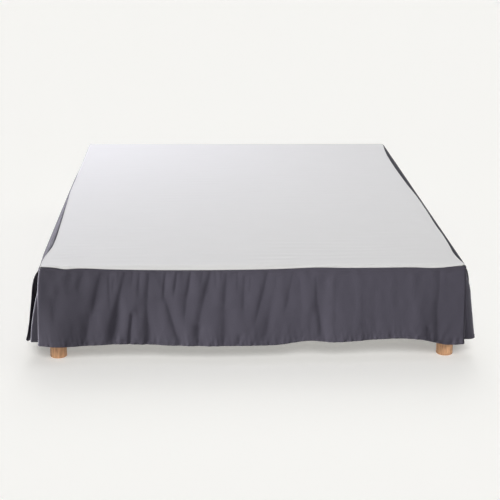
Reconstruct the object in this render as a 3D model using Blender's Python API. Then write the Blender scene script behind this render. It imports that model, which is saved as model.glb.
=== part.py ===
"""A bed skirt on a box bed base, at full size in metres, +Z up.

A thin white deck lies on the base, under where the mattress goes. Three charcoal drops are sewn to
it, along the foot and both sides, and hang to just above the floor. The foot corners are split, with
a pleat behind each split. The head end is open. +Y points to the head of the bed.
"""
import math
from collections import namedtuple

import bmesh
import bpy
import numpy as np

# Driving sizes. The cloth's outer faces are this far apart at the top edge of the bed.
SKIRT_WIDTH = 1.400
SKIRT_LENGTH = 1.900
DECK_TOP = 0.330
SKIRT_CLOTH = 0.0015
DECK_CLOTH = 0.0012
SEAM_GAP = 0.0005

# The cloth rounds the bed's top edge on this radius, measured at mid thickness.
EDGE_RADIUS = 0.012
QUARTER_TURN = EDGE_RADIUS * math.pi / 2
HALF_WIDTH = SKIRT_WIDTH / 2 - SKIRT_CLOTH / 2
HALF_LENGTH = SKIRT_LENGTH / 2 - SKIRT_CLOTH / 2
BEND_X = HALF_WIDTH - EDGE_RADIUS
BEND_Y = HALF_LENGTH - EDGE_RADIUS
CLOTH_LEVEL = DECK_TOP - DECK_CLOTH / 2

# Bed base and feet.
BASE_WIDTH = 1.389
BASE_LENGTH = 1.889
BASE_TOP = DECK_TOP - DECK_CLOTH - 0.0008
BASE_BOTTOM = 0.150
BASE_CORNER = 0.020
BASE_TOP_EDGE = 0.010
FOOT_DIAMETER = 0.056
FOOT_INSET = 0.0425
FOOT_GAP = 0.0003
FOOT_CHAMFER = 0.002
FOOT_SIDES = 32

# Where the bed's middle stands, so that the whole object is centred on the origin.
BED_MIDDLE = (0.0043, 0.0187, 0.0)

# Seam between deck and foot drop: how far it hangs below the deck's face at each X.
Hang = namedtuple("Hang", "at drop")
FRONT_SEAM = (
    Hang(-0.700, 0.0031), Hang(-0.650, 0.0055), Hang(-0.620, 0.0075), Hang(-0.580, 0.0060),
    Hang(-0.470, 0.0105), Hang(-0.270, 0.0145), Hang(-0.010, 0.0135), Hang(0.120, 0.0090),
    Hang(0.200, 0.0080), Hang(0.310, 0.0095), Hang(0.410, 0.0075), Hang(0.520, 0.0090),
    Hang(0.610, 0.0112), Hang(0.655, 0.0070), Hang(0.700, 0.0031),
)
HEAD_OVERHANG = 0.018

# Seams between deck and side drops: how far in from the cloth's outer face, at each Y.
Inset = namedtuple("Inset", "at inset")
LEFT_SEAM = (
    Inset(-0.950, 0.004), Inset(-0.890, 0.007), Inset(-0.845, 0.010), Inset(-0.800, 0.015),
    Inset(-0.750, 0.020), Inset(-0.660, 0.023), Inset(-0.460, 0.023), Inset(-0.350, 0.021),
    Inset(-0.235, 0.017), Inset(-0.120, 0.011), Inset(0.010, 0.007), Inset(0.280, 0.004),
    Inset(0.950, 0.004),
)
RIGHT_SEAM = (
    Inset(-0.950, 0.004), Inset(-0.910, 0.009), Inset(-0.820, 0.015), Inset(-0.760, 0.013),
    Inset(-0.600, 0.010), Inset(-0.450, 0.009), Inset(-0.280, 0.009), Inset(-0.040, 0.011),
    Inset(0.100, 0.016), Inset(0.240, 0.021), Inset(0.450, 0.025), Inset(0.620, 0.024),
    Inset(0.800, 0.017), Inset(0.950, 0.004),
)

# Each drop along its hem: the hem's height where it hangs HEM_OUT from the bed, how far the cloth
# puffs out just below the edge, and how far out its hem hangs. A hem that swings out rises with it.
HEM_OUT = 0.020
HEM_RISE = 0.31
FRONT_PUFF_PART = 0.06
SIDE_PUFF_PART = 0.16
FLARE_POWER = 1.8
Hem = namedtuple("Hem", "at height puff out")
FRONT_HEM = (
    Hem(-0.700, 0.0640, 0.006, 0.024), Hem(-0.640, 0.0590, 0.008, 0.036),
    Hem(-0.560, 0.0641, 0.005, 0.027), Hem(-0.430, 0.0680, 0.007, 0.030),
    Hem(-0.350, 0.0667, 0.007, 0.027), Hem(-0.270, 0.0618, 0.008, 0.031),
    Hem(-0.190, 0.0594, 0.008, 0.036), Hem(0.000, 0.0594, 0.006, 0.034),
    Hem(0.080, 0.0612, 0.005, 0.029), Hem(0.130, 0.0683, 0.004, 0.024),
    Hem(0.180, 0.0746, 0.004, 0.021), Hem(0.260, 0.0680, 0.005, 0.030),
    Hem(0.320, 0.0711, 0.004, 0.026), Hem(0.400, 0.0776, 0.003, 0.020),
    Hem(0.510, 0.0814, 0.003, 0.017), Hem(0.560, 0.0760, 0.004, 0.021),
    Hem(0.600, 0.0660, 0.005, 0.028), Hem(0.640, 0.0569, 0.006, 0.034),
    Hem(0.700, 0.0590, 0.006, 0.024),
)
LEFT_HEM = (
    Hem(-0.946, 0.049, 0.029, 0.056), Hem(-0.930, 0.049, 0.024, 0.047),
    Hem(-0.900, 0.051, 0.021, 0.043), Hem(-0.830, 0.056, 0.016, 0.038),
    Hem(-0.700, 0.062, 0.006, 0.032),
    Hem(-0.540, 0.060, 0.009, 0.041), Hem(-0.360, 0.063, 0.005, 0.030),
    Hem(-0.150, 0.059, 0.008, 0.043), Hem(0.080, 0.062, 0.005, 0.033),
    Hem(0.300, 0.060, 0.007, 0.040), Hem(0.520, 0.064, 0.004, 0.028),
    Hem(0.740, 0.061, 0.006, 0.037), Hem(0.946, 0.064, 0.003, 0.022),
)
RIGHT_HEM = (
    Hem(-0.946, 0.059, 0.019, 0.047), Hem(-0.905, 0.059, 0.018, 0.044),
    Hem(-0.830, 0.060, 0.013, 0.038), Hem(-0.640, 0.065, 0.005, 0.029),
    Hem(-0.430, 0.060, 0.009, 0.042), Hem(-0.260, 0.064, 0.005, 0.030),
    Hem(-0.020, 0.061, 0.007, 0.038), Hem(0.210, 0.063, 0.004, 0.029),
    Hem(0.390, 0.059, 0.008, 0.043), Hem(0.610, 0.062, 0.005, 0.031),
    Hem(0.790, 0.060, 0.006, 0.038), Hem(0.946, 0.064, 0.003, 0.024),
)

# Folds: a soft trough (negative height) or ridge from one place to another, both given along the
# bed's edge and down from the deck. One that ends below the hem runs out through it.
Fold = namedtuple("Fold", "top_at top_depth low_at low_depth half_width height")
FRONT_FOLDS = (
    Fold(-0.642, 0.080, -0.648, 0.200, 0.026, -0.007),
    Fold(-0.500, 0.020, -0.556, 0.300, 0.016, -0.016),
    Fold(-0.424, 0.015, -0.466, 0.300, 0.015, -0.016),
    Fold(-0.345, 0.015, -0.345, 0.300, 0.016, -0.018),
    Fold(-0.327, 0.060, -0.225, 0.300, 0.016, -0.013),
    Fold(-0.205, 0.010, -0.222, 0.140, 0.014, -0.011),
    Fold(-0.141, 0.010, -0.200, 0.225, 0.016, -0.015),
    Fold(-0.087, 0.030, -0.090, 0.240, 0.024, -0.011),
    Fold(0.046, 0.015, 0.006, 0.200, 0.016, -0.012),
    Fold(0.058, 0.130, 0.040, 0.260, 0.022, -0.010),
    Fold(0.129, 0.030, 0.100, 0.150, 0.016, -0.008),
    Fold(0.208, 0.050, 0.222, 0.300, 0.016, -0.016),
    Fold(0.270, 0.060, 0.268, 0.200, 0.020, -0.006),
    Fold(0.612, 0.015, 0.622, 0.300, 0.022, -0.010),
)
LEFT_FOLDS = (
    Fold(-0.790, 0.040, -0.770, 0.300, 0.040, -0.014),
    Fold(-0.620, 0.020, -0.640, 0.300, 0.036, -0.010),
    Fold(-0.420, 0.030, -0.430, 0.240, 0.040, -0.009),
    Fold(-0.240, 0.020, -0.250, 0.300, 0.034, -0.012),
    Fold(0.020, 0.040, -0.010, 0.300, 0.040, -0.011),
    Fold(0.200, 0.030, 0.180, 0.220, 0.040, -0.007),
    Fold(0.430, 0.020, 0.410, 0.300, 0.038, -0.012),
    Fold(0.640, 0.040, 0.650, 0.300, 0.042, -0.009),
)
RIGHT_FOLDS = (
    Fold(-0.770, 0.030, -0.740, 0.300, 0.038, -0.012),
    Fold(-0.550, 0.020, -0.530, 0.300, 0.036, -0.010),
    Fold(-0.330, 0.040, -0.350, 0.230, 0.040, -0.008),
    Fold(-0.120, 0.020, -0.130, 0.300, 0.034, -0.012),
    Fold(0.110, 0.030, 0.090, 0.300, 0.040, -0.010),
    Fold(0.300, 0.040, 0.290, 0.220, 0.036, -0.008),
    Fold(0.520, 0.020, 0.500, 0.300, 0.040, -0.013),
    Fold(0.720, 0.030, 0.700, 0.300, 0.038, -0.009),
)
FOLD_FADE = 0.3

# Each drop's ends: where they hang at the top, and how far along they move as they fall.
FRONT_END = 0.6985
SIDE_END = 0.9455
Spread = namedtuple("Spread", "start end")
FRONT_SPREAD = Spread(-0.012, 0.007)
SPREAD_PART = 0.15
LEFT_SPREAD = Spread(0.021, 0.0)
RIGHT_SPREAD = Spread(0.009, 0.0)
# Within this distance of an end, the drop's top edge dips so that the corner is the deck's.
CORNER_DIP = 0.022
CORNER_ARC = 0.0138
LEAST_BEND = 0.003

# Pleats behind the split corners, along the base's outline to each side of the corner.
PLEAT_LEG = 0.070
PLEAT_TOP = DECK_TOP - 0.020
PLEAT_HEM = 0.068
PLEAT_CLEAR = 0.0026
PLEAT_OUT_LEFT = 0.037
PLEAT_OUT_RIGHT = 0.037
PLEAT_OUT_FRONT = 0.004
PLEAT_LEAN = 0.03
PLEAT_CLOTH = 0.0012
PLEAT_PARTS = (0.0, 0.08, 0.2, 0.45, 1.0)

# Places along the bed's edges where the cloth's points stand, close together at the corners.
CORNER_STEPS = (0.0, 0.0045, 0.009, 0.015, 0.024)
FRONT_COLUMNS = 60
SIDE_COLUMNS = 26
HEAD_COLUMNS = 6
HEAD_STEPS = 3
EDGE_ROWS = 4
FALL_PARTS = (0.0, 0.05, 0.13, 0.30, 0.55, 0.80, 1.0)
DECK_INNER = 0.030
DECK_RINGS = (0.0, 0.13, 0.26, 0.42, 1.0)

Surface = namedtuple("Surface", "name colour roughness metallic")
CHARCOAL = Surface("skirt_cloth", (0.060, 0.056, 0.068), 0.90, 0.0)
WHITE = Surface("deck_cloth", (0.780, 0.780, 0.780), 0.85, 0.0)
LINEN = Surface("base_cloth", (0.560, 0.550, 0.530), 0.90, 0.0)
BEECH = Surface("foot_wood", (0.420, 0.210, 0.100), 0.50, 0.0)


def clear_scene():
    for item in list(bpy.data.objects):
        bpy.data.objects.remove(item, do_unlink=True)


def material(surface):
    """One material per object, with the surface's own colour and finish."""
    result = bpy.data.materials.new(surface.name)
    result.use_nodes = True
    shader = result.node_tree.nodes["Principled BSDF"]
    shader.inputs["Base Color"].default_value = (*surface.colour, 1.0)
    shader.inputs["Roughness"].default_value = surface.roughness
    shader.inputs["Metallic"].default_value = surface.metallic
    return result


def add_object(name, mesh, surface, parent):
    mesh.materials.append(material(surface))
    mesh.shade_smooth()
    mesh.set_sharp_from_angle(angle=math.radians(40))
    result = bpy.data.objects.new(name, mesh)
    bpy.context.scene.collection.objects.link(result)
    result.parent = parent
    return result


def smooth_step(t):
    t = min(max(t, 0.0), 1.0)
    return t * t * (3.0 - 2.0 * t)


def read_table(rows, at, column):
    """Value of a column at a place between the rows, on a smooth curve through them."""
    places = [row.at for row in rows]
    values = [getattr(row, column) for row in rows]
    slopes = np.gradient(values, places)
    index = min(max(np.searchsorted(places, at) - 1, 0), len(rows) - 2)
    span = places[index + 1] - places[index]
    t = min(max((at - places[index]) / span, 0.0), 1.0)
    rise = values[index + 1] - values[index]
    ease = t * (1.0 - t) * ((1.0 - t) * (slopes[index] * span - rise)
                            - t * (slopes[index + 1] * span - rise))
    return values[index] + t * rise + ease


def over_edge(arc):
    """Cloth over the bed's top edge: reach past the bend line, and drop, at an arc length."""
    if arc <= 0.0:
        return arc, 0.0
    turn = min(arc / EDGE_RADIUS, math.pi / 2)
    below = max(arc - QUARTER_TURN, 0.0)
    return EDGE_RADIUS * math.sin(turn), EDGE_RADIUS * (1.0 - math.cos(turn)) + below


def arc_at_drop(drop):
    """Arc length at which the cloth has fallen this far below the deck."""
    if drop >= EDGE_RADIUS:
        return QUARTER_TURN + drop - EDGE_RADIUS
    return EDGE_RADIUS * math.acos(1.0 - drop / EDGE_RADIUS)


def arc_at_inset(inset):
    """Arc length at which the cloth is this far in from its outer face."""
    if inset >= EDGE_RADIUS:
        return EDGE_RADIUS - inset
    return EDGE_RADIUS * math.asin(1.0 - inset / EDGE_RADIUS)


def edge_places(end, columns):
    """Places from one corner to the other: close together near both, and even between."""
    near = end - CORNER_STEPS[-1]
    first = [step - end for step in CORNER_STEPS[:-1]]
    last = [end - step for step in CORNER_STEPS[-2::-1]]
    return [*first, *np.linspace(-near, near, columns + 1), *last]


def front_seam(x):
    return arc_at_drop(read_table(FRONT_SEAM, x, "drop"))


def left_seam(y):
    return arc_at_inset(read_table(LEFT_SEAM, y, "inset"))


def right_seam(y):
    return arc_at_inset(read_table(RIGHT_SEAM, y, "inset"))


def add_sheet(name, mesh, thickness, surface, parent):
    """A sheet of cloth from the surface at its mid thickness."""
    sheet = add_object(name, mesh, surface, parent)
    solid = sheet.modifiers.new("thickness", "SOLIDIFY")
    solid.thickness = thickness
    solid.offset = 0.0
    return sheet


def grid_mesh(name, rows, outward):
    """Mesh of a grid of points, its faces turned to the side that outward names."""
    width = len(rows[0])
    points = [point for row in rows for point in row]
    faces = []
    for j in range(len(rows) - 1):
        for i in range(width - 1):
            low = j * width + i
            faces.append((low, low + 1, low + width + 1, low + width))
    mesh = bpy.data.meshes.new(name)
    mesh.from_pydata(points, [], faces)
    mesh.update()
    middle = mesh.polygons[len(faces) // 2].normal
    if middle.dot(outward) < 0.0:
        mesh.flip_normals()
    return mesh


def fold_height(folds, along, depth):
    """Height of all the folds together at one place on a drop."""
    total = 0.0
    for fold in folds:
        run = (depth - fold.top_depth) / (fold.low_depth - fold.top_depth)
        centre = fold.top_at + run * (fold.low_at - fold.top_at)
        fade = smooth_step(run / FOLD_FADE + 0.4) * smooth_step((1.0 - run) / FOLD_FADE + 0.4)
        across = (along - centre) / fold.half_width
        total += fold.height * fade * math.exp(-across * across)
    return total


def fall(along, hem, folds, puff_part, part):
    """Distance out and height of a drop's hanging stretch, part of the way down to its hem."""
    out_at_hem = read_table(hem, along, "out")
    puff = read_table(hem, along, "puff")
    hem_height = read_table(hem, along, "height") + HEM_RISE * (out_at_hem - HEM_OUT)
    start = CLOTH_LEVEL - EDGE_RADIUS
    height = start + part * (hem_height - start)
    swell = puff * (1.0 - math.exp(-part / puff_part)) + (out_at_hem - puff) * part ** FLARE_POWER
    loose = swell + fold_height(folds, along, DECK_TOP - height)
    # The cloth can't pass into the bed, so what is pressed in flattens against it.
    out = 0.5 * (loose + math.sqrt(loose * loose + 0.003 ** 2)) * smooth_step(part / 0.06)
    return out, height


def drop_rows(columns, end, seam, hem, folds, spread, puff_part, place):
    """Rows of points down a drop, from its seam over the bed's edge to its hem."""
    rows = [[] for _ in range(EDGE_ROWS + len(FALL_PARTS))]
    for along in edge_places(end, columns):
        top = seam(along) + SEAM_GAP
        near_end = smooth_step(1.0 - (end - abs(along)) / CORNER_DIP)
        top += near_end * max(CORNER_ARC - top, 0.0)
        bend_end = max(QUARTER_TURN, top + LEAST_BEND)
        for j in range(EDGE_ROWS):
            reach, drop = over_edge(top + (bend_end - top) * j / EDGE_ROWS)
            rows[j].append(place(along, reach, CLOTH_LEVEL - drop))
        begin = (bend_end - QUARTER_TURN) / (CLOTH_LEVEL - EDGE_RADIUS - hem[0].height)
        share = (along + end) / (2.0 * end)
        for j, fall_part in enumerate(FALL_PARTS):
            part = begin + (1.0 - begin) * fall_part
            out, height = fall(along, hem, folds, puff_part, part)
            moved = spread.start + (spread.end - spread.start) * share
            moved *= 1.0 - math.exp(-part / SPREAD_PART)
            rows[EDGE_ROWS + j].append(place(along + moved, EDGE_RADIUS + out, height))
    return rows


def make_front_drop(parent):
    def place(along, reach, height):
        return (along, -(BEND_Y + reach), height)
    rows = drop_rows(FRONT_COLUMNS, FRONT_END, front_seam, FRONT_HEM, FRONT_FOLDS,
                     FRONT_SPREAD, FRONT_PUFF_PART, place)
    mesh = grid_mesh("drop_front", rows, (0.0, -1.0, 0.0))
    add_sheet("drop_front", mesh, SKIRT_CLOTH, CHARCOAL, parent)


def make_side_drop(name, side, seam, hem, folds, spread, parent):
    """The drop on one side of the bed: side is -1 for the left and 1 for the right."""
    def place(along, reach, height):
        return (side * (BEND_X + reach), along, height)
    rows = drop_rows(SIDE_COLUMNS, SIDE_END, seam, hem, folds, spread, SIDE_PUFF_PART, place)
    mesh = grid_mesh(name, rows, (float(side), 0.0, 0.0))
    add_sheet(name, mesh, SKIRT_CLOTH, CHARCOAL, parent)


def deck_outline():
    """Two loops of arc lengths from the middle: the deck's edge, and a flat rectangle inside it."""
    wide = BEND_X + right_seam(SIDE_END)
    head = BEND_Y + arc_at_drop(HEAD_OVERHANG)
    flat_x = BEND_X - DECK_INNER
    flat_y = BEND_Y - DECK_INNER
    across = [-wide, *edge_places(FRONT_END, FRONT_COLUMNS)[1:-1]]
    along = [*edge_places(SIDE_END, SIDE_COLUMNS)[:-1],
             *np.linspace(SIDE_END, head, HEAD_STEPS, endpoint=False)]
    back = edge_places(wide, HEAD_COLUMNS)[:-1]
    inside_y = np.interp([*along, head], (-SIDE_END, head), (-flat_y, flat_y))
    outer = [(x, -(BEND_Y + front_seam(x))) for x in across]
    inner = [(flat_x * x / wide, -flat_y) for x in across]
    outer += [(BEND_X + right_seam(y), y) for y in along]
    inner += [(flat_x, y) for y in inside_y[:-1]]
    outer += [(-x, head) for x in back]
    inner += [(-flat_x * x / wide, flat_y) for x in back]
    outer += [(-(BEND_X + left_seam(y)), y) for y in [head, *along[:0:-1]]]
    inner += [(-flat_x, y) for y in inside_y[:0:-1]]
    return np.array(outer), np.array(inner)


def lay_on_bed(x_arc, y_arc):
    """Place on the bed of a point given by its arc lengths from the middle of the deck."""
    reach_x, drop_x = over_edge(abs(x_arc) - BEND_X)
    reach_y, drop_y = over_edge(abs(y_arc) - BEND_Y)
    x = math.copysign(BEND_X + reach_x, x_arc)
    y = math.copysign(BEND_Y + reach_y, y_arc)
    return (x, y, CLOTH_LEVEL - drop_x - drop_y)


def make_deck(parent):
    """Rings of faces from the deck's edge in to one flat face where the mattress lies."""
    outer, inner = deck_outline()
    points = []
    for share in DECK_RINGS:
        ring = outer + share * (inner - outer)
        points += [lay_on_bed(x, y) for x, y in ring]
    count = len(outer)
    faces = []
    for k in range(len(DECK_RINGS) - 1):
        for i in range(count):
            follow = (i + 1) % count
            here, inside = k * count, (k + 1) * count
            faces.append((here + i, here + follow, inside + follow, inside + i))
    faces.append(tuple(range((len(DECK_RINGS) - 1) * count, len(DECK_RINGS) * count)))
    mesh = bpy.data.meshes.new("deck")
    mesh.from_pydata(points, [], faces)
    mesh.update()
    if mesh.polygons[-1].normal.z < 0.0:
        mesh.flip_normals()
    add_sheet("deck", mesh, DECK_CLOTH, WHITE, parent)


def base_outline(along):
    """Point and outward direction on the base's outline, at a distance from its front right corner."""
    half_arc = BASE_CORNER * math.pi / 4
    centre_x = BASE_WIDTH / 2 - BASE_CORNER
    centre_y = -BASE_LENGTH / 2 + BASE_CORNER
    if along < -half_arc:
        return centre_x + along + half_arc, -BASE_LENGTH / 2, 0.0, -1.0
    if along > half_arc:
        return BASE_WIDTH / 2, centre_y + along - half_arc, 1.0, 0.0
    angle = -math.pi / 4 + along / BASE_CORNER
    east, north = math.cos(angle), math.sin(angle)
    return centre_x + BASE_CORNER * east, centre_y + BASE_CORNER * north, east, north


def make_pleat(name, side, out_at_hem, parent):
    """A strip of cloth that hangs round the foot corner, behind the split."""
    straight = np.linspace(0.022, PLEAT_LEG, 4)
    round_corner = np.linspace(-0.016, 0.016, 6)
    rows = []
    for part in PLEAT_PARTS:
        height = PLEAT_TOP + part * (PLEAT_HEM - PLEAT_TOP)
        row = []
        for along in [*(-straight[::-1]), *round_corner, *straight]:
            x, y, east, north = base_outline(along)
            lean = PLEAT_LEAN * max(along, 0.0)
            x += east * (PLEAT_CLEAR + (out_at_hem + lean) * part)
            y += north * (PLEAT_CLEAR + PLEAT_OUT_FRONT * part)
            row.append((side * x, y, height))
        rows.append(row)
    mesh = grid_mesh(name, rows, (0.7 * side, -0.7, 0.0))
    add_sheet(name, mesh, PLEAT_CLOTH, CHARCOAL, parent)


def make_base(parent):
    """A plain upholstered box with rounded upright corners and a softer top edge."""
    form = bmesh.new()
    bmesh.ops.create_cube(form, size=1.0)
    height = BASE_TOP - BASE_BOTTOM
    bmesh.ops.scale(form, vec=(BASE_WIDTH, BASE_LENGTH, height), verts=form.verts)
    bmesh.ops.translate(form, vec=(0.0, 0.0, BASE_BOTTOM + height / 2), verts=form.verts)
    upright = [e for e in form.edges if abs(e.verts[0].co.z - e.verts[1].co.z) > height / 2]
    bmesh.ops.bevel(form, geom=upright, offset=BASE_CORNER, segments=5, profile=0.5,
                    affect="EDGES")
    rims = [e for e in form.edges if e.verts[0].co.z == e.verts[1].co.z and len(e.link_faces) == 2
            and e.calc_face_angle() > 1.0]
    bmesh.ops.bevel(form, geom=rims, offset=BASE_TOP_EDGE, segments=3, profile=0.5,
                    affect="EDGES")
    mesh = bpy.data.meshes.new("base")
    form.to_mesh(mesh)
    form.free()
    add_object("base", mesh, LINEN, parent)


def make_foot(name, x, y, parent):
    """A turned wooden foot, flat underneath, with a small chamfer."""
    form = bmesh.new()
    height = BASE_BOTTOM - FOOT_GAP
    bmesh.ops.create_cone(form, cap_ends=True, segments=FOOT_SIDES, radius1=FOOT_DIAMETER / 2,
                          radius2=FOOT_DIAMETER / 2, depth=height)
    bmesh.ops.translate(form, vec=(0.0, 0.0, height / 2), verts=form.verts)
    rim = [e for e in form.edges if e.verts[0].co.z < height / 2 and e.verts[1].co.z < height / 2]
    bmesh.ops.bevel(form, geom=rim, offset=FOOT_CHAMFER, segments=2, profile=0.5, affect="EDGES")
    mesh = bpy.data.meshes.new(name)
    form.to_mesh(mesh)
    form.free()
    foot = add_object(name, mesh, BEECH, parent)
    foot.location = (x, y, 0.0)


def main():
    clear_scene()
    bed = bpy.data.objects.new("bed", None)
    bed.location = BED_MIDDLE
    bpy.context.scene.collection.objects.link(bed)
    make_base(bed)
    foot_x = BASE_WIDTH / 2 - FOOT_INSET
    foot_y = BASE_LENGTH / 2 - FOOT_INSET
    for end, y in (("front", -foot_y), ("head", foot_y)):
        for side, x in (("left", -foot_x), ("right", foot_x)):
            make_foot(f"foot_{end}_{side}", x, y, bed)
    make_deck(bed)
    make_front_drop(bed)
    make_side_drop("drop_left", -1, left_seam, LEFT_HEM, LEFT_FOLDS, LEFT_SPREAD, bed)
    make_side_drop("drop_right", 1, right_seam, RIGHT_HEM, RIGHT_FOLDS, RIGHT_SPREAD, bed)
    make_pleat("pleat_left", -1, PLEAT_OUT_LEFT, bed)
    make_pleat("pleat_right", 1, PLEAT_OUT_RIGHT, bed)


main()
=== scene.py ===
"""Dresses the bed skirt for show: its cloth in fine folds, its finishes, and a plain studio.

The frame gives the bed base, the feet and the room that each sheet of cloth has. Every sheet is made
here again as a fine mesh on the same lines, with its gathers, seams and stitched hems.
"""
import math
from collections import namedtuple

import bpy
import numpy as np
from mathutils import Matrix, Vector


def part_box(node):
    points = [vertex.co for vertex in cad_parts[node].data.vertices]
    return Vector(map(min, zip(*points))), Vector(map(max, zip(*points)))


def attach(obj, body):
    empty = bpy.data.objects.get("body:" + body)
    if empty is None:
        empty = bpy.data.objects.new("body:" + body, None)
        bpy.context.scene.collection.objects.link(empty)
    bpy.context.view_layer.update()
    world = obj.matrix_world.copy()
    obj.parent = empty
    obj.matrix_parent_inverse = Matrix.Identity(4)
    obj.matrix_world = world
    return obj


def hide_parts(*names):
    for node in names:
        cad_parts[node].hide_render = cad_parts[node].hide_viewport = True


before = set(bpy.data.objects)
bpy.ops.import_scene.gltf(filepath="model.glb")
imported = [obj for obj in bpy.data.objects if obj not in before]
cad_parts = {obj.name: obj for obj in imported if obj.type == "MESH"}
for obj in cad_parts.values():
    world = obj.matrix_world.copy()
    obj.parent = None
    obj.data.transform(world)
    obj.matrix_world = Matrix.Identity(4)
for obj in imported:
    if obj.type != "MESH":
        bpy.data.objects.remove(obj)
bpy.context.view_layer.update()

# ------------------------------------------------------------------------------------------------
# Sizes, in metres
# ------------------------------------------------------------------------------------------------

# The bed's middle and the lines on which the cloth bends, from the frame's own pieces. The skirt's
# mid thickness stands CLOTH_STAND out from the base, and the deck's lies in the middle of its room.
base_low, base_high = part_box("base")
BED_MIDDLE = (base_low + base_high) / 2
BASE_HALF_WIDTH = (base_high.x - base_low.x) / 2
BASE_HALF_LENGTH = (base_high.y - base_low.y) / 2
CLOTH_STAND = 0.00475
EDGE_RADIUS = 0.012
QUARTER_TURN = EDGE_RADIUS * math.pi / 2
BEND_X = BASE_HALF_WIDTH + CLOTH_STAND - EDGE_RADIUS
BEND_Y = BASE_HALF_LENGTH + CLOTH_STAND - EDGE_RADIUS
DECK_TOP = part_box("deck")[1].z
DECK_ROOM = 0.0012
CLOTH_LEVEL = DECK_TOP - DECK_ROOM / 2

# Thickness of each cloth, and the gap between the deck and a drop along their seam.
SKIRT_CLOTH = 0.0012
DECK_CLOTH = 0.0010
SEAM_GAP = 0.0005

# Seam between deck and foot drop: how far it hangs below the deck's face at each X. The deck's
# free edge at the head hangs HEAD_OVERHANG below it.
Hang = namedtuple("Hang", "at drop")
FRONT_SEAM = (
    Hang(-0.700, 0.0031), Hang(-0.650, 0.0055), Hang(-0.620, 0.0092), Hang(-0.580, 0.0077),
    Hang(-0.470, 0.0105), Hang(-0.270, 0.0136), Hang(-0.010, 0.0129), Hang(0.100, 0.0110),
    Hang(0.200, 0.0080), Hang(0.310, 0.0095), Hang(0.410, 0.0093), Hang(0.520, 0.0088),
    Hang(0.610, 0.0104), Hang(0.655, 0.0070), Hang(0.700, 0.0031),
)
HEAD_OVERHANG = 0.018

# Seams between deck and side drops: how far in from the cloth's outer face, and how far the edge
# there bows out past the bed's straight line, at each Y.
Inset = namedtuple("Inset", "at inset bow", defaults=[0.0])
LEFT_SEAM = (
    Inset(-0.950, 0.0040), Inset(-0.890, 0.0060, 0.0010), Inset(-0.845, 0.0100, 0.0025),
    Inset(-0.800, 0.0165, 0.0040), Inset(-0.750, 0.0225, 0.0045), Inset(-0.660, 0.0250, 0.0045),
    Inset(-0.560, 0.0240, 0.0045), Inset(-0.460, 0.0215, 0.0045), Inset(-0.350, 0.0190, 0.0045),
    Inset(-0.250, 0.0160, 0.0045), Inset(-0.130, 0.0130, 0.0040), Inset(0.000, 0.0090, 0.0040),
    Inset(0.280, 0.0080, 0.0025), Inset(0.420, 0.0040, 0.0010), Inset(0.700, 0.0040),
    Inset(0.950, 0.0040),
)
RIGHT_SEAM = (
    Inset(-0.950, 0.0040), Inset(-0.910, 0.0120), Inset(-0.820, 0.0190), Inset(-0.760, 0.0165),
    Inset(-0.600, 0.0135), Inset(-0.480, 0.0155), Inset(-0.280, 0.0130), Inset(-0.040, 0.0145),
    Inset(0.100, 0.0195), Inset(0.240, 0.0225), Inset(0.450, 0.0250), Inset(0.620, 0.0240),
    Inset(0.800, 0.0170), Inset(0.950, 0.0040),
)

# Each drop along its hem: the hem's height where it hangs HEM_OUT from the bed, how far the cloth
# puffs out just below the edge, and how far out its hem hangs. A hem that swings out rises with it.
HEM_OUT = 0.020
HEM_RISE = 0.31
Hem = namedtuple("Hem", "at height puff out")
FRONT_HEM = (
    Hem(-0.700, 0.0603, 0.0030, 0.024), Hem(-0.640, 0.0553, 0.0040, 0.036),
    Hem(-0.560, 0.0580, 0.0025, 0.030), Hem(-0.430, 0.0628, 0.0035, 0.030),
    Hem(-0.350, 0.0615, 0.0035, 0.027), Hem(-0.270, 0.0581, 0.0040, 0.031),
    Hem(-0.190, 0.0557, 0.0040, 0.036), Hem(0.000, 0.0557, 0.0030, 0.034),
    Hem(0.080, 0.0575, 0.0025, 0.029), Hem(0.130, 0.0646, 0.0020, 0.024),
    Hem(0.180, 0.0709, 0.0020, 0.021), Hem(0.260, 0.0643, 0.0025, 0.030),
    Hem(0.320, 0.0674, 0.0020, 0.026), Hem(0.400, 0.0739, 0.0015, 0.020),
    Hem(0.510, 0.0762, 0.0015, 0.020), Hem(0.560, 0.0708, 0.0020, 0.0225),
    Hem(0.600, 0.0608, 0.0025, 0.0200), Hem(0.640, 0.0532, 0.0030, 0.0165),
    Hem(0.700, 0.0553, 0.0030, 0.0160),
)
LEFT_HEM = (
    Hem(-0.946, 0.056, 0.030, 0.056), Hem(-0.941, 0.050, 0.028, 0.053),
    Hem(-0.933, 0.048, 0.024, 0.049), Hem(-0.900, 0.050, 0.021, 0.046),
    Hem(-0.850, 0.054, 0.017, 0.041), Hem(-0.700, 0.062, 0.006, 0.032),
    Hem(-0.540, 0.060, 0.011, 0.041), Hem(-0.360, 0.063, 0.007, 0.030),
    Hem(-0.150, 0.059, 0.008, 0.043), Hem(0.080, 0.062, 0.005, 0.033),
    Hem(0.300, 0.060, 0.007, 0.040), Hem(0.520, 0.064, 0.004, 0.028),
    Hem(0.740, 0.061, 0.006, 0.037), Hem(0.946, 0.064, 0.003, 0.022),
)
RIGHT_HEM = (
    Hem(-0.946, 0.066, 0.018, 0.038), Hem(-0.941, 0.061, 0.018, 0.038),
    Hem(-0.932, 0.059, 0.017, 0.038), Hem(-0.900, 0.059, 0.016, 0.039),
    Hem(-0.830, 0.060, 0.013, 0.037), Hem(-0.640, 0.065, 0.005, 0.029),
    Hem(-0.430, 0.060, 0.009, 0.042), Hem(-0.260, 0.064, 0.005, 0.030),
    Hem(-0.020, 0.061, 0.007, 0.038), Hem(0.210, 0.063, 0.004, 0.029),
    Hem(0.390, 0.059, 0.008, 0.043), Hem(0.610, 0.062, 0.005, 0.031),
    Hem(0.790, 0.060, 0.006, 0.038), Hem(0.946, 0.064, 0.003, 0.024),
)

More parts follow.
